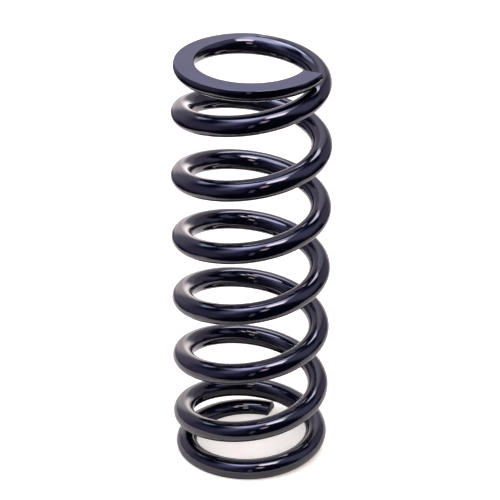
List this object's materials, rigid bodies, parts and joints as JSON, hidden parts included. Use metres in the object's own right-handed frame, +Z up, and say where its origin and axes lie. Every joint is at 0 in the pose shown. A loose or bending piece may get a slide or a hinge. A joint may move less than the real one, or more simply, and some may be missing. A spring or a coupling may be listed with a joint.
{
  "type": "coilover spring",
  "caption": "Straight compression spring of round steel wire for a coilover damper, with closed, squared and ground ends, in a dark blue gloss coat.",
  "frame": {"origin": "on the coil's axis, in the plane of the lower ground face", "axes": "+Z up the coil's axis, from the lower seat to the upper seat; +X is where azimuths start, with the lower tip at 69.9 degrees and the upper tip at -24.4 degrees"},
  "size_m": [0.0942, 0.0942, 0.254],
  "materials": {
    "spring_coat": "dark navy gloss powder coat with a fine metallic glint, satin on the ground end faces"
  },
  "bodies": {
    "root": {"coil_spring": "spring_coat"}
  },
  "joints": []
}
